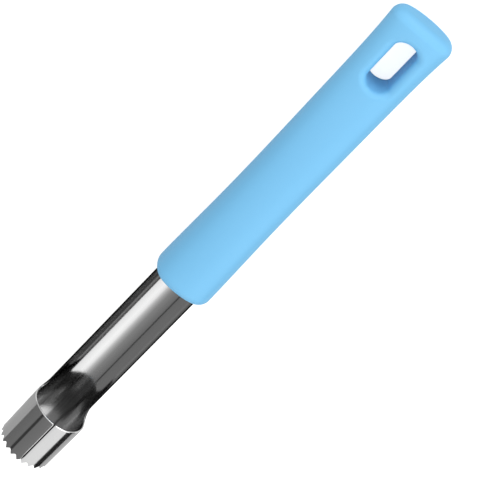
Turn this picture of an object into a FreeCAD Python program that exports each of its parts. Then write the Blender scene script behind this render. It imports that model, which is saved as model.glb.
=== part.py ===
import FreeCAD, Part
import math
import os

# Apple corer lying on the back of its handle, sizes in millimetres.
# +X runs from the teeth to the hang end, +Z is the side that the blade's channel is open to.
# The origin is on the surface that it lies on, below the middle of the overall box.

# Blade: one strip of sheet steel, rolled to a closed ring at the teeth and left open as a channel behind it
ring_diameter = 20.0
ring_tip_diameter = 19.52
ring_length = 20.0
sheet = 0.7
seam_gap = 0.15
seam_corner_radius = 0.6
channel_arc = 117.0
channel_corner_radius = 4.5
shank_length = 62.6
tang_length = 45.0

# Teeth round the cutting edge, with a shorter pitch where the strip's two ends meet
tooth_count = 23
seam_pitch_share = 0.78
tooth_flank_angle = 40.0
tooth_root_radius = 0.5
tooth_land = 0.14
edge_thickness = 0.3
bevel_length = 2.2

# Holes in the tang, which the handle's plastic fills
lock_hole_diameter = 6.0
lock_hole_spacing = 20.0
lock_hole_setback = 12.0

# Handle: one moulding with a straight back and a falling front
handle_length = 120.0
shank_end_width = 21.3
shank_end_thickness = 19.0
shoulder_from_shank_end = 21.0
shoulder_width = 20.7
shoulder_thickness = 18.2
waist_from_shank_end = 42.0
waist_width = 20.1
waist_thickness = 17.3
palm_from_shank_end = 74.0
palm_width = 20.5
palm_thickness = 15.4
slot_station_width = 21.3
slot_station_thickness = 13.4
hang_end_width = 24.0
hang_end_thickness = 12.4
section_fullness = 0.755
shank_end_round = 3.2
hang_end_round = 3.7
hang_end_crown_radius = 110.0

# Hang slot through the wide face
slot_width = 8.1
slot_length = 18.2
slot_end_rise = 3.2
slot_to_end = 7.5
slot_rim_round = 2.2

# Fit of the tang in the handle, and the height of the blade's axis above the surface
tang_clearance = 0.05
back_wall_below_tang = 3.5

overall_length = ring_length + shank_length + handle_length
tip_x = -overall_length / 2
rim_x = tip_x + ring_length
handle_x = rim_x + shank_length
hang_end_x = handle_x + handle_length
tang_end_x = handle_x + tang_length
ring_radius = ring_diameter / 2
ring_tip_radius = ring_tip_diameter / 2
axis_z = back_wall_below_tang + ring_radius
half_gap_angle = math.degrees(seam_gap / 2 / ring_radius)
opening_half_angle = 180 - channel_arc / 2
slot_centre_x = hang_end_x - slot_to_end - slot_length / 2

X_AXIS = FreeCAD.Vector(1, 0, 0)
Y_AXIS = FreeCAD.Vector(0, 1, 0)
Z_AXIS = FreeCAD.Vector(0, 0, 1)
blade_axis_point = FreeCAD.Vector(0, 0, axis_z)

# How far cutters run past what they cut, how close to a place an edge has to lie to be picked there,
# the points along a curve that is worked out, and the degree of the handle's curves
overrun = 2.0
near = 0.01
near_angle = 1.0
curve_points = 9
curve_degree = 3


def on_blade(x, radius, angle):
    """Point at a distance from the blade's axis, at an angle from the top towards -Y."""
    turn = math.radians(angle)
    return FreeCAD.Vector(x, -radius * math.sin(turn), axis_z + radius * math.cos(turn))


def turned(profile, start_angle, sweep_angle):
    """Solid of revolution about the blade's axis; the profile is a list of (x, radius)."""
    points = [on_blade(x, radius, start_angle) for x, radius in profile]
    face = Part.Face(Part.makePolygon(points + points[:1]))
    return face.revolve(blade_axis_point, X_AXIS, sweep_angle)


def rolled_strip():
    """The wall from the sharpened edge to the tang's end, closed all round but for the seam."""
    bevel_x = tip_x + bevel_length
    taper = (ring_radius - ring_tip_radius) / ring_length
    bevel_radius = ring_tip_radius + taper * bevel_length
    profile = [
        (tip_x, ring_tip_radius),
        (rim_x, ring_radius),
        (tang_end_x, ring_radius),
        (tang_end_x, ring_radius - sheet),
        (rim_x, ring_radius - sheet),
        (bevel_x, bevel_radius - sheet),
        (tip_x, ring_tip_radius - edge_thickness),
    ]
    return turned(profile, half_gap_angle, 360 - 2 * half_gap_angle)


def corner_outline(height, middle):
    """The rounded corner between rim and channel, seen from the blade's axis on a plane above it."""
    radius = channel_corner_radius

    def place(from_edge, x):
        angle = opening_half_angle - math.degrees(from_edge / ring_radius) - middle
        return FreeCAD.Vector(x, -height * math.tan(math.radians(angle)), axis_z + height)

    bend = []
    for i in range(curve_points):
        turn = math.pi / 2 * i / (curve_points - 1)
        bend.append(place(radius - radius * math.sin(turn), rim_x + radius - radius * math.cos(turn)))
    curve = Part.BSplineCurve()
    curve.interpolate(bend, InitialTangent=-Y_AXIS, FinalTangent=X_AXIS)
    beyond = [(-overrun, rim_x + radius), (-overrun, rim_x - overrun), (radius, rim_x - overrun)]
    sides = Part.makePolygon([bend[-1]] + [place(*spot) for spot in beyond] + [bend[0]])
    return Part.Wire([curve.toShape()] + sides.Edges)


def channel_corners():
    """What the two rounded corners keep standing; their walls run straight across the sheet."""
    middle = opening_half_angle - math.degrees(channel_corner_radius / 2 / ring_radius)
    heights = (ring_radius / 2, ring_radius + 2 * overrun)
    corner = Part.makeLoft([corner_outline(height, middle) for height in heights], True, True)
    corner = corner.rotated(blade_axis_point, X_AXIS, middle)
    return [corner, corner.mirror(blade_axis_point, Y_AXIS)]


def channel_opening():
    """What is cut away behind the ring, so that only the channel's arc is left."""
    reach = ring_radius + overrun
    profile = [(rim_x, 0), (rim_x, reach), (tang_end_x + overrun, reach), (tang_end_x + overrun, 0)]
    opening = turned(profile, -opening_half_angle, 2 * opening_half_angle)
    return opening.cut(channel_corners())


def tooth_gullet(pitch_angle):
    """Cutter for the rounded V between two teeth, at the top of the ring."""
    half_width = (math.radians(pitch_angle) * ring_tip_radius - tooth_land) / 2
    flank = math.radians(tooth_flank_angle)
    apex = half_width / math.tan(flank)
    centre = apex - tooth_root_radius / math.sin(flank)
    touch_x = centre + tooth_root_radius * math.sin(flank)
    touch_y = tooth_root_radius * math.cos(flank)
    mouth = half_width + overrun * math.tan(flank)
    low = axis_z + ring_tip_radius / 2

    def point(along, across):
        return FreeCAD.Vector(tip_x + along, across, low)

    edges = [
        Part.LineSegment(point(-overrun, -mouth), point(touch_x, -touch_y)).toShape(),
        Part.Arc(point(touch_x, -touch_y), point(centre + tooth_root_radius, 0),
                 point(touch_x, touch_y)).toShape(),
        Part.LineSegment(point(touch_x, touch_y), point(-overrun, mouth)).toShape(),
        Part.LineSegment(point(-overrun, mouth), point(-overrun, -mouth)).toShape(),
    ]
    return Part.Face(Part.Wire(edges)).extrude(Z_AXIS * ring_tip_radius)


def all_gullets():
    """One gullet at the seam, and one between each other pair of teeth."""
    pitch = 360 / (tooth_count - 1 + seam_pitch_share)
    seam_pitch = pitch * seam_pitch_share
    cutters = [tooth_gullet(seam_pitch)]
    plain = tooth_gullet(pitch)
    for i in range(tooth_count - 1):
        angle = seam_pitch / 2 + (i + 0.5) * pitch
        cutters.append(plain.rotated(blade_axis_point, X_AXIS, angle))
    return cutters


def lock_hole_places():
    """Where the two holes of the tang are along X."""
    first = tang_end_x - lock_hole_setback
    return [first, first - lock_hole_spacing]


def lock_pins(diameter):
    """Upright cylinders through the bottom of the tang."""
    foot = axis_z - ring_radius - overrun
    height = ring_radius + overrun
    return [Part.makeCylinder(diameter / 2, height, FreeCAD.Vector(x, 0, foot), Z_AXIS)
            for x in lock_hole_places()]


def seam_corners(solid):
    """The two short edges across the sheet where the seam meets the rim."""
    found = []
    for edge in solid.Edges:
        middle = edge.CenterOfMass
        radii = [math.hypot(vertex.Y, vertex.Z - axis_z) for vertex in edge.Vertexes]
        side = math.degrees(math.atan2(abs(middle.y), middle.z - axis_z))
        crosses_sheet = max(radii) - min(radii) > sheet / 2
        if crosses_sheet and abs(middle.x - rim_x) < near and side < half_gap_angle + near_angle:
            found.append(edge)
    return found


def coring_blade():
    """Ring, channel and tang in one piece."""
    strip = rolled_strip().cut(channel_opening())
    strip = strip.makeFillet(seam_corner_radius, seam_corners(strip))
    return strip.cut(all_gullets() + lock_pins(lock_hole_diameter))


def section(x, width, thickness):
    """Smooth oval of the handle across X, from 8 control points, its lowest point on the surface.

    Beside each control point the curve passes at (before + 4 * point + after) / 6. That sets the
    points so that it reaches 1 at the four sides and section_fullness at the four corners.
    """
    corner = (6 * section_fullness - 3 / 2) / (7 / 2)
    side = 3 / 2 - corner / 2
    half = [(-corner, -corner), (0, -side), (corner, -corner), (side, 0)]
    net = half + [(-across, -up) for across, up in half]
    poles = [FreeCAD.Vector(x, across * width / 2, (1 + up) * thickness / 2) for across, up in net]
    curve = Part.BSplineCurve()
    knots = len(poles) + 1
    curve.buildFromPolesMultsKnots(poles, [1] * knots, list(range(knots)), True, curve_degree)
    return Part.Wire(curve.toShape())


def end_crown():
    """All that is in front of the arched hang end."""
    axis_foot = FreeCAD.Vector(hang_end_x - hang_end_crown_radius, 0, -overrun)
    height = shank_end_thickness + 2 * overrun
    arch = Part.makeCylinder(hang_end_crown_radius, height, axis_foot, Z_AXIS)
    arch.rotate(axis_foot, Z_AXIS, 180)
    corner = axis_foot - Y_AXIS * hang_end_width
    block = Part.makeBox(hang_end_crown_radius + overrun, 2 * hang_end_width, height, corner)
    return block.cut(arch)


def loops_at(solid, test):
    """Edges whose every sampled point passes a test."""
    return [edge for edge in solid.Edges if all(test(point) for point in edge.discretize(curve_points))]


def handle_blank():
    """Lofted body, cut to its arched hang end and rounded at both ends."""
    stations = [
        (handle_x, shank_end_width, shank_end_thickness),
        (handle_x + shoulder_from_shank_end, shoulder_width, shoulder_thickness),
        (handle_x + waist_from_shank_end, waist_width, waist_thickness),
        (handle_x + palm_from_shank_end, palm_width, palm_thickness),
        (slot_centre_x, slot_station_width, slot_station_thickness),
        (hang_end_x + overrun, hang_end_width, hang_end_thickness),
    ]
    body = Part.makeLoft([section(*station) for station in stations], True, False)
    body = body.cut(end_crown())
    shank_loop = loops_at(body, lambda point: abs(point.x - handle_x) < near)
    body = body.makeFillet(shank_end_round, shank_loop)
    arch_rise = hang_end_width ** 2 / 8 / hang_end_crown_radius
    hang_loop = loops_at(body, lambda point: point.x > hang_end_x - 2 * arch_rise)
    return body.makeFillet(hang_end_round, hang_loop)


def slot_cutter():
    """Upright prism of the hang slot: straight sides and half-elliptical ends."""
    half_width = slot_width / 2
    straight = slot_length / 2 - slot_end_rise

    def corner(along, across):
        return FreeCAD.Vector(slot_centre_x + along, across, -overrun)

    edges = []
    for side in (1, -1):
        arch = Part.Ellipse(corner(0, half_width), corner(slot_end_rise, 0), corner(0, 0))
        start = 0 if side > 0 else math.pi
        end = Part.ArcOfEllipse(arch, start, start + math.pi).toShape()
        end.translate(X_AXIS * side * straight)
        edges.append(end)
        edges.append(Part.LineSegment(corner(straight, side * half_width),
                                      corner(-straight, side * half_width)).toShape())
    outline = Part.Wire(Part.__sortEdges__(edges))
    return Part.Face(outline).extrude(Z_AXIS * (shank_end_thickness + 2 * overrun))


def tang_pocket():
    """The space for the tang, with the plastic's two pins through its holes."""
    outer = ring_radius + tang_clearance
    inner = ring_radius - sheet - tang_clearance
    end_x = tang_end_x + tang_clearance
    half_arc = channel_arc / 2 + math.degrees(tang_clearance / ring_radius)
    profile = [(handle_x - overrun, inner), (handle_x - overrun, outer), (end_x, outer), (end_x, inner)]
    pocket = turned(profile, 180 - half_arc, 2 * half_arc)
    return pocket.cut(lock_pins(lock_hole_diameter - 2 * tang_clearance))


def handle():
    """The moulded grip round the tang."""
    body = handle_blank().cut(slot_cutter())
    in_slot = loops_at(body, lambda point: abs(point.x - slot_centre_x) < slot_length / 2 + near
                       and abs(point.y) < slot_width / 2 + near)
    rims = [edge for edge in in_slot if edge.BoundBox.ZLength < edge.Length / 2]
    body = body.makeFillet(slot_rim_round, rims)
    return body.cut(tang_pocket())


def build():
    os.makedirs("parts", exist_ok=True)
    coring_blade().exportStep("parts/coring_blade.step")
    handle().exportStep("parts/handle.step")


build()
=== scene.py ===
"""Looks of an apple corer that lies on the back of its handle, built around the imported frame."""

import math

import bmesh
import bpy
from mathutils import Matrix, Vector
from mathutils.geometry import delaunay_2d_cdt


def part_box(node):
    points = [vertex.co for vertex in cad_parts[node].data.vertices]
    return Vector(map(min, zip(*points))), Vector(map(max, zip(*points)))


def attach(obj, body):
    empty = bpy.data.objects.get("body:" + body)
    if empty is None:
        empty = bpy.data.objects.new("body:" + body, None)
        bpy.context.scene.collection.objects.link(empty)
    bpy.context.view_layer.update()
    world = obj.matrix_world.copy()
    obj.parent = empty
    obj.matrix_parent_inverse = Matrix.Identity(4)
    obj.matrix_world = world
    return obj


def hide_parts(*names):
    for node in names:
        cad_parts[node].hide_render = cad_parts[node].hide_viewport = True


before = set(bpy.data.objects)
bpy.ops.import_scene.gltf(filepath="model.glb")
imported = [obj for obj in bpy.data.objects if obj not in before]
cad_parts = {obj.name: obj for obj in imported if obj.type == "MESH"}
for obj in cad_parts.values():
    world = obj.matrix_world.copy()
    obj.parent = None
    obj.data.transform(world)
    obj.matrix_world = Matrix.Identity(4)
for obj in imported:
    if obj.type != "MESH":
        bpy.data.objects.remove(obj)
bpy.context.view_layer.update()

# Camera in the row frame, in metres: place, aim and turn about its line of sight
camera_place = Vector((0.33297, 0.15462, 0.65458))
camera_aim = Vector((0.004256, -0.008033, 0.008))
camera_roll = math.radians(44.613)
camera_lens_mm = 168.9
camera_sensor_mm = 36

# Studio light
white = (1.0, 1.0, 1.0, 1.0)
sky_level = 0.85
backdrop_level = 1.0

# Floor: its tone, its darker tone over two mirrors or more, which is painted shade deep in the bore, and the
# glow that the camera and gloss add to it
floor_half = 4.0
floor_albedo = 0.6
floor_deep_albedo = 0.15
floor_lift = 0.79
floor_gloss_lift = 0.15

# Lamp beside the part, turned from overhead towards -Y, and lamp off the hang end, turned towards +X
softbox_angle = 32.0
softbox_distance = 0.8
softbox_length = 1.6
softbox_width = 0.87
softbox_level = 0.40
softbox_x = -0.1
end_lamp_angle = 75.0
end_lamp_distance = 0.8
end_lamp_size = 0.4
end_lamp_level = 2.6

# Cards round the part, which only gloss shows, as (angle, level); angles run from overhead towards -Y
cards_radius = 0.09
cards_height = 0.0135
cards_reach = 105
cards_per_degree = 2
ring_cards = [
    (-105, 0.8), (-93.5, 0.8), (-92.5, 0.1), (-91.5, 0.1), (-90, 0.28), (-75, 0.3),
    (-49, 0.33), (-46.5, 0.07), (-38.5, 0.07), (-36, 0.33), (-5, 0.36), (8, 0.38), (15, 1.5), (30, 1.62),
    (70, 1.62), (71.5, 0.03), (105, 0.03),
]
channel_cards = [
    (-105, 0.03), (-100, 0.03), (-97, 0.1), (-94, 0.32), (-70, 0.32), (-46.5, 0.3),
    (-44.5, 0.05), (-41.5, 0.05), (-39.5, 0.33), (-26, 0.38), (-4, 0.51), (8, 0.8), (17.5, 1.17), (28, 1.9),
    (41, 2.15), (66, 1.87), (74.5, 1.8), (75.7, 0.02), (105, 0.02),
]
handle_cards = [
    (-105, 0.3), (-60, 0.4), (0, 0.7), (18, 1.1), (36, 3.0), (50, 3.0), (66, 1.2), (82, 0.2), (105, 0.05),
]
end_cards = [(-105, 2.5), (105, 2.5)]

# Cards along the part, as (place, cards, share below the split angle, share above it), where the share
# is how much of a card's level shows over two mirrors or more
cards_split = 20
cards_along = [
    (-0.5, ring_cards, 1.6, 0.5), (-0.134, ring_cards, 1.6, 0.5),
    (-0.132, channel_cards, 1.0, 0.1), (-0.068, channel_cards, 1.0, 0.1),
    (-0.06, handle_cards, 0.4, 0.4), (0.08, handle_cards, 0.4, 0.4),
    (0.1, end_cards, 0.4, 0.4), (0.5, end_cards, 0.4, 0.4),
]

# Steel, in linear colours: its face between two tones, a painted highlight on the ring's rounded corners, and
# sheared walls, which are duller, darkened to near black as painted shade
steel_dark = (0.40, 0.40, 0.404, 1)
steel_light = (0.44, 0.44, 0.437, 1)
steel_glint_tone = (0.85, 0.85, 0.85, 1)
steel_sheared_painted_dark = (0.018, 0.018, 0.018, 1)
steel_smoothest = 0.08
steel_roughest = 0.15
bore_roughness = 0.07

# Plastic, between two tones
plastic_dark = (0.180, 0.530, 0.850, 1)
plastic_light = (0.190, 0.550, 0.870, 1)
plastic_smoothest = 0.38
plastic_roughest = 0.5
plastic_gloss = 0.4

# Values between which most of a noise lies
noise_low = 0.3
noise_high = 0.7

# Blade's strip, in metres: its ends and its lowest line are read off the CAD solid
ring_radius = 0.010
ring_tip_radius = 0.00976
ring_length = 0.020
sheet = 0.0007
seam_gap = 0.00015
seam_corner_radius = 0.0006
channel_arc = math.radians(117)
channel_corner_radius = 0.0045
tooth_count = 23
seam_pitch_share = 0.78
tooth_flank_angle = math.radians(40)
tooth_root_radius = 0.0005
tooth_land = 0.00014
edge_thickness = 0.0003
bevel_length = 0.0022
lock_hole_radius = 0.003
lock_hole_spacing = 0.020
lock_hole_setback = 0.012

# Inner side of the seam: how far each wall leans to the other, and its share of the rounding
seam_lean = 0.00007
seam_inner_share = 0.15

# Rounding of the strip's cut edges: on the teeth, on the ring and on the channel
tooth_rounding = 0.00006
edge_rounding = 0.00032
channel_rounding = 0.0001
rounding_steps = 6

# Distances from the teeth between which the rounding grows to that of the ring
rounding_starts = 0.0014
rounding_ends = 0.003

# Turns into the rounding, from the face: where the painted highlight is full, and between which the painted
# dark of a sheared wall comes in
glint_full_turn = math.radians(10)
painted_dark_from = math.radians(18)
painted_dark_to = math.radians(36)

# Length over which the ring's duller inside fades at its rim
bore_blend = 0.002

# Points of the edge along the seam, as distances from the start of its rounding, and how far the first
# point along the rim keeps from the seam
seam_places = (0, 0.0008, 0.0016, 0.004, 0.010)
rim_margin = 1.5 * seam_corner_radius

# Steps of each stretch of the strip's edge
gullet_steps = 6
seam_corner_steps = 8
rim_steps = 12
channel_corner_steps = 20
channel_steps = 24
tang_end_steps = 6
lock_hole_steps = 40

# Loose grid on the strip's faces, its distance from the edges and from a crease, and how it is joined up
mesh_along = 0.0018
mesh_across = math.radians(6)
mesh_margin = 0.0006
crease_margin = 0.00005
mesh_tolerance = 1e-9
inside_only = 1

# Smoothing of the handle's solid
weld_distance = 2e-6
sharp_angle = math.radians(32)


def share(part, whole):
    """A part of a whole, held between 0 and 1."""
    return min(1.0, max(0.0, part / whole))


def aim_camera():
    """The photograph's view: looking down on the part, with its length across the picture."""
    back = (camera_place - camera_aim).normalized()
    level = Vector((1, 0, 0)).cross(back).normalized()
    upright = back.cross(level)
    across = math.cos(camera_roll) * level + math.sin(camera_roll) * upright
    turn = Matrix((across, back.cross(across), back)).transposed()
    data = bpy.data.cameras.new("view")
    data.lens = camera_lens_mm
    data.sensor_width = camera_sensor_mm
    camera = bpy.data.objects.new("view", data)
    camera.matrix_world = Matrix.Translation(camera_place) @ turn.to_4x4()
    bpy.context.scene.collection.objects.link(camera)
    bpy.context.scene.camera = camera


def new_object(name, mesh):
    """A mesh object in the scene."""
    made = bpy.data.objects.new(name, mesh)
    bpy.context.scene.collection.objects.link(made)
    return made


def new_material(name):
    """A material and its node tree."""
    material = bpy.data.materials.new(name)
    material.use_nodes = True
    return material, material.node_tree


def set_input(tree, socket, value):
    """A value or another node's output put into an input."""
    if isinstance(value, bpy.types.NodeSocket):
        tree.links.new(value, socket)
    else:
        socket.default_value = value


def add_node(tree, kind, **inputs):
    """A shader node with its inputs set by name, where an underscore stands for a space."""
    node = tree.nodes.new(kind)
    for name, value in inputs.items():
        set_input(tree, node.inputs[name.replace("_", " ")], value)
    return node


def add_math(tree, operation, first, second):
    """Two values joined by one operation."""
    node = tree.nodes.new("ShaderNodeMath")
    node.operation = operation
    tree.links.new(first, node.inputs[0])
    tree.links.new(second, node.inputs[1])
    return node.outputs[0]


def add_range(tree, value, **limits):
    """A value moved from one range to another; both are 0 to 1 if not given."""
    return add_node(tree, "ShaderNodeMapRange", Value=value, **limits).outputs[0]


def blend(tree, value, first, second):
    """A colour between two, by a value."""
    node = tree.nodes.new("ShaderNodeMix")
    node.data_type = "RGBA"
    tree.links.new(value, node.inputs["Factor"])
    set_input(tree, node.inputs["A"], first)
    set_input(tree, node.inputs["B"], second)
    return node.outputs["Result"]


def mesh_value(tree, name):
    """A value that the mesh carries at its points."""
    node = tree.nodes.new("ShaderNodeAttribute")
    node.attribute_name = name
    return node.outputs["Fac"]


def seen_directly(tree):
    """1 for rays of the camera, of gloss and of glass, 0 for the rest."""
    path = tree.nodes.new("ShaderNodeLightPath")
    total = path.outputs["Is Camera Ray"]
    for name in ("Is Glossy Ray", "Is Transmission Ray"):
        total = add_math(tree, "MAXIMUM", total, path.outputs[name])
    return total


def mirrored_once(tree):
    """1 for all that is seen over one mirror at most, 0 over two or more, as deep in the bore."""
    path = tree.nodes.new("ShaderNodeLightPath")
    return add_range(tree, path.outputs["Glossy Depth"], From_Min=1.0, From_Max=2.0, To_Min=1.0, To_Max=0.0)


def light_world():
    """White where it is looked at, and a plain grey sky as a light."""
    world = bpy.data.worlds.new("studio")
    bpy.context.scene.world = world
    world.use_nodes = True
    tree = world.node_tree
    tree.nodes.clear()
    sky = add_node(tree, "ShaderNodeBackground", Color=white, Strength=sky_level)
    backdrop = add_node(tree, "ShaderNodeBackground", Color=white, Strength=backdrop_level)
    mix = add_node(tree, "ShaderNodeMixShader", Fac=seen_directly(tree))
    tree.links.new(sky.outputs[0], mix.inputs[1])
    tree.links.new(backdrop.outputs[0], mix.inputs[2])
    add_node(tree, "ShaderNodeOutputWorld", Surface=mix.outputs[0])


def floor_material():
    """Pale and matt, with a glow where the camera or gloss sees it, and darker over two mirrors or more as
    painted shade deep in the bore.
    """
    material, tree = new_material("pale_floor")
    tree.nodes.clear()
    first = mirrored_once(tree)
    # Darker tone over two mirrors or more: painted shade deep in the bore
    tone = add_range(tree, first, To_Min=floor_deep_albedo, To_Max=floor_albedo)
    matt = add_node(tree, "ShaderNodeBsdfDiffuse", Color=tone)
    seen_first = add_math(tree, "MULTIPLY", seen_directly(tree), first)
    mirrored = add_range(tree, seen_first, To_Max=floor_gloss_lift)
    path = tree.nodes.new("ShaderNodeLightPath")
    lift = add_range(tree, path.outputs["Is Camera Ray"], To_Min=mirrored, To_Max=floor_lift)
    glow = add_node(tree, "ShaderNodeEmission", Color=white, Strength=lift)
    both = tree.nodes.new("ShaderNodeAddShader")
    tree.links.new(matt.outputs[0], both.inputs[0])
    tree.links.new(glow.outputs[0], both.inputs[1])
    add_node(tree, "ShaderNodeOutputMaterial", Surface=both.outputs[0])
    return material


def add_floor():
    """A plain pale floor that keeps the part's shadow."""
    mesh = bpy.data.meshes.new("floor")
    corners = [(x * floor_half, y * floor_half, 0) for x, y in ((-1, -1), (1, -1), (1, 1), (-1, 1))]
    mesh.from_pydata(corners, [], [(0, 1, 2, 3)])
    floor = new_object("floor", mesh)
    mesh.materials.append(floor_material())


def add_lamp(name, place, turns, length, width, level):
    """A soft lamp that gloss doesn't show."""
    data = bpy.data.lights.new(name, "AREA")
    data.shape = "RECTANGLE"
    data.size = length
    data.size_y = width
    data.energy = level * math.pi * length * width
    lamp = bpy.data.objects.new(name, data)
    lamp.location = place
    lamp.rotation_euler = turns
    lamp.visible_glossy = False
    bpy.context.scene.collection.objects.link(lamp)


def add_lamps():
    """A large lamp beside the part, along its whole length, and a small one low off its hang end."""
    tilt = math.radians(softbox_angle)
    place = (softbox_x, -softbox_distance * math.sin(tilt), softbox_distance * math.cos(tilt))
    add_lamp("softbox", place, (tilt, 0, 0), softbox_length, softbox_width, softbox_level)
    tilt = math.radians(end_lamp_angle)
    place = (end_lamp_distance * math.sin(tilt), 0, end_lamp_distance * math.cos(tilt))
    add_lamp("end_lamp", place, (0, tilt, 0), end_lamp_size, end_lamp_size, end_lamp_level)


def level_at(cards, angle):
    """Brightness of a row of cards at an angle, between the listed levels."""
    for (low, before), (high, after) in zip(cards, cards[1:]):
        if low <= angle <= high:
            return before + (after - before) * (angle - low) / (high - low)
    return 0.0


def cards_material():
    """Glow by the levels that the mesh carries, times its own share over two mirrors or more."""
    material, tree = new_material("cards")
    tree.nodes.clear()
    shown = add_range(tree, mirrored_once(tree), To_Min=mesh_value(tree, "left_over"))
    strength = add_math(tree, "MULTIPLY", mesh_value(tree, "level"), shown)
    glow = add_node(tree, "ShaderNodeEmission", Color=white, Strength=strength)
    add_node(tree, "ShaderNodeOutputMaterial", Surface=glow.outputs[0])
    return material


def add_cards():
    """White, grey and black cards in an open tube round the part, for gloss alone."""
    verts, levels, left_over = [], [], []
    last_step = cards_reach * cards_per_degree
    angles = [step / cards_per_degree for step in range(-last_step, last_step + 1)]
    for angle in angles:
        turn = math.radians(angle)
        for x, cards, left_below, left_above in cards_along:
            verts.append((x, -cards_radius * math.sin(turn), cards_height + cards_radius * math.cos(turn)))
            levels.append(level_at(cards, angle))
            left_over.append(left_below if angle < cards_split else left_above)
    row = len(cards_along)
    faces = [(row * i + k, row * i + k + 1, row * (i + 1) + k + 1, row * (i + 1) + k)
             for i in range(len(angles) - 1) for k in range(row - 1)]
    mesh = bpy.data.meshes.new("cards")
    mesh.from_pydata(verts, [], faces)
    mesh.attributes.new("level", "FLOAT", "POINT").data.foreach_set("value", levels)
    mesh.attributes.new("left_over", "FLOAT", "POINT").data.foreach_set("value", left_over)
    mesh.materials.append(cards_material())
    cards = new_object("cards", mesh)
    cards.visible_camera = False
    cards.visible_diffuse = False
    cards.visible_shadow = False
    cards.visible_transmission = False


def add_noise(tree, scale_x, scale, detail):
    """Noise in the part's own frame, drawn out along X where its scale along X is below 1."""
    place = tree.nodes.new("ShaderNodeTexCoord")
    mapping = add_node(tree, "ShaderNodeMapping", Vector=place.outputs["Object"], Scale=(scale_x, 1, 1))
    noise = add_node(tree, "ShaderNodeTexNoise", Vector=mapping.outputs[0], Scale=scale, Detail=detail)
    return noise.outputs["Fac"]


def spread(tree, noise, low, high):
    """A noise spread over a range."""
    return add_range(tree, noise, From_Min=noise_low, From_Max=noise_high, To_Min=low, To_Max=high)


def steel():
    """Polished stainless sheet with faint marks along the blade and a duller inside in the ring, with sheared
    walls darkened to near black as painted shade and a highlight painted on the ring's rounded rim and seam.
    """
    material, tree = new_material("polished_stainless")
    shader = tree.nodes["Principled BSDF"]
    shader.inputs["Metallic"].default_value = 1.0
    marks = add_noise(tree, scale_x=0.012, scale=2600, detail=2)
    cloud = add_noise(tree, scale_x=0.3, scale=160, detail=3)
    face = blend(tree, cloud, steel_dark, steel_light)
    # A highlight painted on the rounded corners of the ring's rim and seam
    glinted = blend(tree, mesh_value(tree, "painted_glint"), face, steel_glint_tone)
    # Sheared walls darkened to near black, as painted shade on a duller cut edge
    tone = blend(tree, mesh_value(tree, "cut"), glinted, steel_sheared_painted_dark)
    tree.links.new(tone, shader.inputs["Base Color"])
    worn = add_range(tree, mesh_value(tree, "bore"), To_Max=bore_roughness)
    rough = add_math(tree, "ADD", spread(tree, marks, steel_smoothest, steel_roughest), worn)
    tree.links.new(rough, shader.inputs["Roughness"])
    bump = add_node(tree, "ShaderNodeBump", Strength=0.12, Distance=0.00002, Height=marks)
    tree.links.new(bump.outputs[0], shader.inputs["Normal"])
    return material


def plastic():
    """Light blue moulded plastic with a fine satin grain."""
    material, tree = new_material("blue_plastic")
    shader = tree.nodes["Principled BSDF"]
    cloud = add_noise(tree, scale_x=0.4, scale=90, detail=2)
    grain = add_noise(tree, scale_x=1, scale=3200, detail=3)
    tree.links.new(blend(tree, cloud, plastic_dark, plastic_light), shader.inputs["Base Color"])
    rough = spread(tree, grain, plastic_smoothest, plastic_roughest)
    tree.links.new(rough, shader.inputs["Roughness"])
    shader.inputs["Specular IOR Level"].default_value = plastic_gloss
    bump = add_node(tree, "ShaderNodeBump", Strength=0.25, Distance=0.00003, Height=grain)
    tree.links.new(bump.outputs[0], shader.inputs["Normal"])
    return material


def dressed(node, material):
    """A welded, smooth copy of a CAD node, which stands for it."""
    mesh = bpy.data.meshes.new(node + "_skin")
    shape = bmesh.new()
    shape.from_mesh(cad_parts[node].data)
    bmesh.ops.remove_doubles(shape, verts=shape.verts, dist=weld_distance)
    for face in shape.faces:
        face.smooth = True
    for edge in shape.edges:
        if len(edge.link_faces) == 2 and edge.calc_face_angle() > sharp_angle:
            edge.smooth = False
    shape.to_mesh(mesh)
    shape.free()
    skin = new_object(node + "_skin", mesh)
    mesh.materials.append(material)
    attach(skin, "root")
    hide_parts(node)


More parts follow.
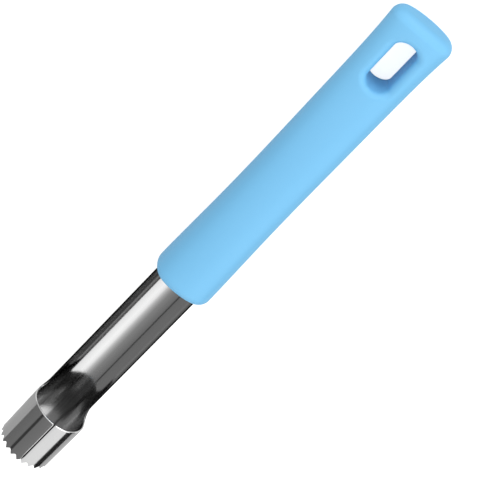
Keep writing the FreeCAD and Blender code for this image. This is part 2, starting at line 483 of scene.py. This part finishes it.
class Strip:
    """The blade's sheet, laid out flat: x runs along it, the angle from the top towards -Y."""

    def __init__(self):
        low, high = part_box("coring_blade")
        self.tip_x = low.x
        self.rim_x = low.x + ring_length
        self.end_x = high.x
        self.axis_z = low.z + ring_radius

    def outer(self, x):
        """Outside radius, which shrinks towards the teeth."""
        return ring_tip_radius + (ring_radius - ring_tip_radius) * share(x - self.tip_x, ring_length)

    def thickness(self, x):
        """Thickness of the sheet, ground down at the teeth."""
        return edge_thickness + (sheet - edge_thickness) * share(x - self.tip_x, bevel_length)

    def rounding(self, x):
        """Radius of the rounded cut edges."""
        grown = share(x - self.tip_x - rounding_starts, rounding_ends - rounding_starts)
        fall = share(x - self.rim_x, channel_corner_radius)
        size = tooth_rounding + (edge_rounding - tooth_rounding) * grown
        return size + (channel_rounding - edge_rounding) * fall

    def seam(self, x, sideways):
        """1 on the seam's walls, 0 on the teeth, the rim and the channel."""
        return abs(sideways) if self.tip_x + rounding_starts <= x <= self.rim_x else 0.0

    def cut(self, x, sideways, turn):
        """1 on the sheared walls of the seam and the channel, which are darkened to near black there as
        painted shade, 0 on the ground teeth and the rim.
        """
        if x < self.tip_x + rounding_starts:
            return 0.0
        return abs(sideways) * share(turn - painted_dark_from, painted_dark_to - painted_dark_from)

    def painted_glint(self, x, turn, cut):
        """1 where a highlight is painted on the rounded corners of the ring's rim and seam."""
        if x <= self.tip_x + rounding_ends:
            return 0.0
        on_ring = 1 - share(x - self.rim_x, channel_corner_radius)
        return on_ring * share(turn, glint_full_turn) * (1 - cut)

    def bore(self, x):
        """1 in the ring, 0 in the channel: polishing doesn't reach into the ring."""
        return share(self.rim_x - x, bore_blend)

    def place(self, x, angle, depth):
        """A point at a depth below the outer face."""
        radius = self.outer(x) - depth
        return Vector((x, -radius * math.sin(angle), self.axis_z + radius * math.cos(angle)))

    def outer_normal(self, x, angle):
        """Direction that the outer face looks in."""
        slope = (ring_radius - ring_tip_radius) / ring_length if x < self.rim_x else 0.0
        return Vector((-slope, -math.sin(angle), math.cos(angle))).normalized()

    def inner_normal(self, x, angle):
        """Direction that the inner face looks in."""
        slope = (sheet - edge_thickness) / bevel_length if x < self.tip_x + bevel_length else 0.0
        return Vector((-slope, math.sin(angle), -math.cos(angle))).normalized()


def gullet(pitch):
    """Half the rounded V between two teeth, from its bottom to its mouth, as (along, across)."""
    half_width = (pitch * ring_tip_radius - tooth_land) / 2
    apex = half_width / math.tan(tooth_flank_angle)
    centre = apex - tooth_root_radius / math.sin(tooth_flank_angle)
    turns = [(math.pi / 2 - tooth_flank_angle) * i / gullet_steps for i in range(gullet_steps + 1)]
    points = [(centre + tooth_root_radius * math.cos(t), tooth_root_radius * math.sin(t)) for t in turns]
    return points + [(0.0, half_width)]


def half_teeth(strip):
    """The cutting edge from the seam round to the bottom of the ring."""
    pitch = 2 * math.pi / (tooth_count - 1 + seam_pitch_share)
    seam_pitch = pitch * seam_pitch_share
    beside_seam = [spot for spot in gullet(seam_pitch) if spot[1] > seam_gap / 2]
    points = [(strip.tip_x + along, across / ring_tip_radius) for along, across in beside_seam]
    plain = gullet(pitch)
    for i in range(tooth_count // 2):
        middle = seam_pitch / 2 + (i + 0.5) * pitch
        for along, across in reversed(plain):
            points.append((strip.tip_x + along, middle - across / ring_tip_radius))
        for along, across in plain[1:]:
            points.append((strip.tip_x + along, middle + across / ring_tip_radius))
    return points


def bend(x, angle, radius, start, end, steps):
    """A rounded corner about a centre; its turns run from +X towards a growing angle."""
    turns = [start + (end - start) * i / steps for i in range(steps + 1)]
    return [(x + radius * math.cos(t), angle + radius * math.sin(t) / ring_radius) for t in turns]


def half_back(strip):
    """The edge from the cutting edge along the seam, the rim and the channel to the end of the tang."""
    gap = seam_gap / 2 / ring_radius
    side = math.pi - channel_arc / 2
    points = [(strip.tip_x + rounding_starts + along, gap) for along in seam_places]
    points += bend(strip.rim_x - seam_corner_radius, gap + seam_corner_radius / ring_radius,
                   seam_corner_radius, -math.pi / 2, 0, seam_corner_steps)
    corner_angle = side - channel_corner_radius / ring_radius
    clear_angle = gap + rim_margin / ring_radius
    rim = [gap + (corner_angle - gap) * i / rim_steps for i in range(1, rim_steps)]
    points += [(strip.rim_x, angle) for angle in rim if angle > clear_angle]
    points += bend(strip.rim_x + channel_corner_radius, corner_angle,
                   channel_corner_radius, math.pi, math.pi / 2, channel_corner_steps)
    run = strip.end_x - strip.rim_x - channel_corner_radius
    points += [(strip.end_x - run * (1 - i / channel_steps), side) for i in range(1, channel_steps + 1)]
    return points + [(strip.end_x, side + (math.pi - side) * i / tang_end_steps)
                     for i in range(1, tang_end_steps + 1)]


def outline(strip):
    """The whole edge of the strip, with its inside on the right hand."""
    teeth, back = half_teeth(strip), half_back(strip)
    other_teeth = [(x, 2 * math.pi - angle) for x, angle in teeth]
    other_back = [(x, 2 * math.pi - angle) for x, angle in back]
    return back[::-1] + teeth + other_teeth[::-1] + other_back[:-1]


def lock_hole(x):
    """The edge of a round hole in the bottom of the tang, with the sheet on the right hand."""
    turns = [2 * math.pi * i / lock_hole_steps for i in range(lock_hole_steps)]
    spots = [(lock_hole_radius * math.cos(t), lock_hole_radius * math.sin(t)) for t in turns]
    return [(x + along, math.pi + math.asin(across / ring_radius)) for along, across in spots]


def flat_place(x, angle):
    """Where a point of the strip lies when the sheet is laid out flat."""
    return Vector((x, angle * ring_radius))


def inward(points):
    """At each point of an edge, the step into the sheet that moves both its sides by one."""
    steps = []
    flat = [flat_place(x, angle) for x, angle in points]
    for i, here in enumerate(flat):
        before = (here - flat[i - 1]).normalized()
        after = (flat[(i + 1) % len(flat)] - here).normalized()
        first, second = Vector((before.y, -before.x)), Vector((after.y, -after.x))
        steps.append((first + second) / (1 + first.dot(second)))
    return steps


def within(spot, ring):
    """True inside a closed line."""
    inside = False
    for a, b in zip(ring, ring[1:] + ring[:1]):
        if (a.y > spot.y) != (b.y > spot.y) and spot.x < a.x + (b.x - a.x) * (spot.y - a.y) / (b.y - a.y):
            inside = not inside
    return inside


class Shell:
    """Vertices, normals and faces of the strip while it is put together."""

    def __init__(self, strip):
        self.strip = strip
        self.verts, self.normals, self.faces = [], [], []
        # The marks of painted shade on sheared walls, of a painted highlight on rounded corners, and of the
        # ring's rougher inside
        self.finish_and_painted_light = {"cut": [], "painted_glint": [], "bore": []}

    def add(self, place, normal, cut=0.0, painted_glint=0.0, bore=0.0):
        """A vertex with the values of its finish and of its painted light and shade; gives its number."""
        self.verts.append(place)
        self.normals.append(normal.normalized())
        for name, value in (("cut", cut), ("painted_glint", painted_glint), ("bore", bore)):
            self.finish_and_painted_light[name].append(value)
        return len(self.verts) - 1

    def add_wall_spot(self, point, step, inner, turn, upright):
        """A vertex of a rounded wall, on its outer or inner corner, at a turn from the sheet's face."""
        strip = self.strip
        x, angle = point
        out = -step.normalized()
        seam = strip.seam(x, out.y) * inner
        size = strip.rounding(x) * (1 - seam * (1 - seam_inner_share))
        spot = flat_place(x, angle) + step * (size * (1 - math.sin(turn)) - seam * seam_lean)
        depth = size * (1 - math.cos(turn))
        here = spot.y / ring_radius
        if inner:
            depth = strip.thickness(spot.x) - depth
            face = strip.inner_normal(spot.x, here)
        else:
            face = strip.outer_normal(spot.x, here)
        around = Vector((0, -math.cos(here), -math.sin(here)))
        wall = Vector((out.x, 0, 0)) + around * out.y
        if upright:
            sideways = math.sin(here) * strip.outer(spot.x) / (strip.outer(spot.x) - depth)
            here = math.pi - math.asin(sideways)
        cut = strip.cut(x, out.y, turn)
        return self.add(strip.place(spot.x, here, depth), face * math.cos(turn) + wall * math.sin(turn),
                        cut, strip.painted_glint(x, turn, cut), strip.bore(x) * inner * math.cos(turn))

    def add_edge(self, points, upright=False):
        """The rounded wall along an edge; gives its first and last loop and their flat places.

        The wall is square to the sheet, or upright, as round a pin.
        """
        steps = inward(points)
        quarter = [math.pi / 2 * k / rounding_steps for k in range(rounding_steps + 1)]
        turns = [(False, turn) for turn in quarter] + [(True, turn) for turn in reversed(quarter)]
        loops = [[self.add_wall_spot(point, step, inner, turn, upright) for point, step in zip(points, steps)]
                 for inner, turn in turns]
        for upper, lower in zip(loops, loops[1:]):
            for i in range(len(upper)):
                j = (i + 1) % len(upper)
                self.faces.append((upper[i], lower[i], lower[j], upper[j]))
        flat = [flat_place(x, angle) + step * self.strip.rounding(x)
                for (x, angle), step in zip(points, steps)]
        return loops[0], loops[-1], flat

    def add_faces(self, edges, inner_spots):
        """The outer and the inner face of the sheet, between the edges."""
        flat, outer, inner, rails = [], [], [], []
        for first, last, spots in edges:
            start = len(flat)
            rails += [(start + i, start + (i + 1) % len(spots)) for i in range(len(spots))]
            flat += spots
            outer += first
            inner += last
        for spot in inner_spots:
            angle = spot.y / ring_radius
            flat.append(spot)
            outer.append(self.add(self.strip.place(spot.x, angle, 0), self.strip.outer_normal(spot.x, angle)))
            inner.append(self.add(self.strip.place(spot.x, angle, self.strip.thickness(spot.x)),
                                  self.strip.inner_normal(spot.x, angle), bore=self.strip.bore(spot.x)))
        places, _, triangles, sources, _, _ = delaunay_2d_cdt(flat, rails, [], inside_only, mesh_tolerance)
        holes = edges[1:]
        for triangle in triangles:
            middle = sum((places[i] for i in triangle), Vector((0, 0))) / len(triangle)
            if any(within(middle, spots) for _, _, spots in holes):
                continue
            corners = [sources[i][0] for i in triangle]
            self.faces.append(tuple(outer[i] for i in reversed(corners)))
            self.faces.append(tuple(inner[i] for i in corners))


def spots_between(strip, holes):
    """A loose grid of places on the strip, clear of all its edges."""
    bevel_x = strip.tip_x + bevel_length
    rows = [bevel_x - mesh_margin, bevel_x - crease_margin, bevel_x + crease_margin]
    while rows[-1] + mesh_along < strip.rim_x - mesh_margin:
        rows.append(rows[-1] + mesh_along)
    rows += [strip.rim_x - crease_margin, strip.rim_x + crease_margin]
    while rows[-1] + mesh_along < strip.end_x - mesh_margin:
        rows.append(rows[-1] + mesh_along)
    spots = []
    for x in rows:
        on_ring = x < strip.rim_x - mesh_margin
        reach = math.pi - seam_gap / 2 / ring_radius if on_ring else channel_arc / 2
        reach -= mesh_margin / ring_radius
        count = int(reach / mesh_across)
        for k in range(-count, count + 1):
            spot = flat_place(x, math.pi + k * mesh_across)
            near = [(spot - flat_place(hole, math.pi)).length for hole in holes]
            if all(distance > lock_hole_radius + mesh_margin for distance in near):
                spots.append(spot)
    return spots


def blade(material):
    """The blade with the soft edges of blanked sheet."""
    strip = Strip()
    first = strip.end_x - lock_hole_setback
    holes = [first, first - lock_hole_spacing]
    shell = Shell(strip)
    edges = [shell.add_edge(outline(strip))]
    edges += [shell.add_edge(lock_hole(x), upright=True) for x in holes]
    shell.add_faces(edges, spots_between(strip, holes))
    mesh = bpy.data.meshes.new("coring_blade_skin")
    mesh.from_pydata(shell.verts, [], shell.faces)
    mesh.shade_smooth()
    mesh.normals_split_custom_set_from_vertices(shell.normals)
    for name, values in shell.finish_and_painted_light.items():
        mesh.attributes.new(name, "FLOAT", "POINT").data.foreach_set("value", values)
    skin = new_object("coring_blade_skin", mesh)
    mesh.materials.append(material)
    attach(skin, "root")
    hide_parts("coring_blade")


aim_camera()
light_world()
add_floor()
add_lamps()
add_cards()
blade(steel())
dressed("handle", plastic())

bpy.context.scene.view_settings.view_transform = "Standard"
